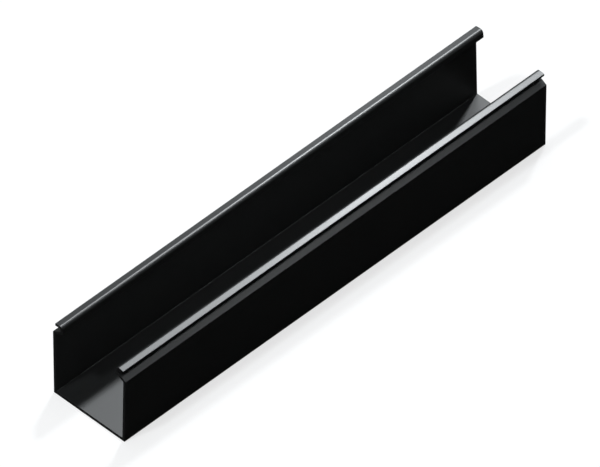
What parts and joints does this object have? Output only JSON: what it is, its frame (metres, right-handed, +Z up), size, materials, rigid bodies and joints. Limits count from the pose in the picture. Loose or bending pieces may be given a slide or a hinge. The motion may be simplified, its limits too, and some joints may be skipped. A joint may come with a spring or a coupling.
{
  "type": "wiring duct",
  "caption": "Solid-wall wiring duct channel: an open-topped plastic extrusion whose walls end in hooked lips that a clip-on cover grips.",
  "frame": {"origin": "middle of the underside, on the surface that the duct lies on", "axes": "+X runs along the duct, from the end that the picture shows nearest to the far end; +Y points to the left wall as seen from the near end; +Z points up, out of the open top"},
  "size_m": [0.3048, 0.0528, 0.0507],
  "materials": {
    "black_pvc": "satin"
  },
  "bodies": {
    "root": {"duct_channel": "black_pvc"}
  },
  "joints": []
}
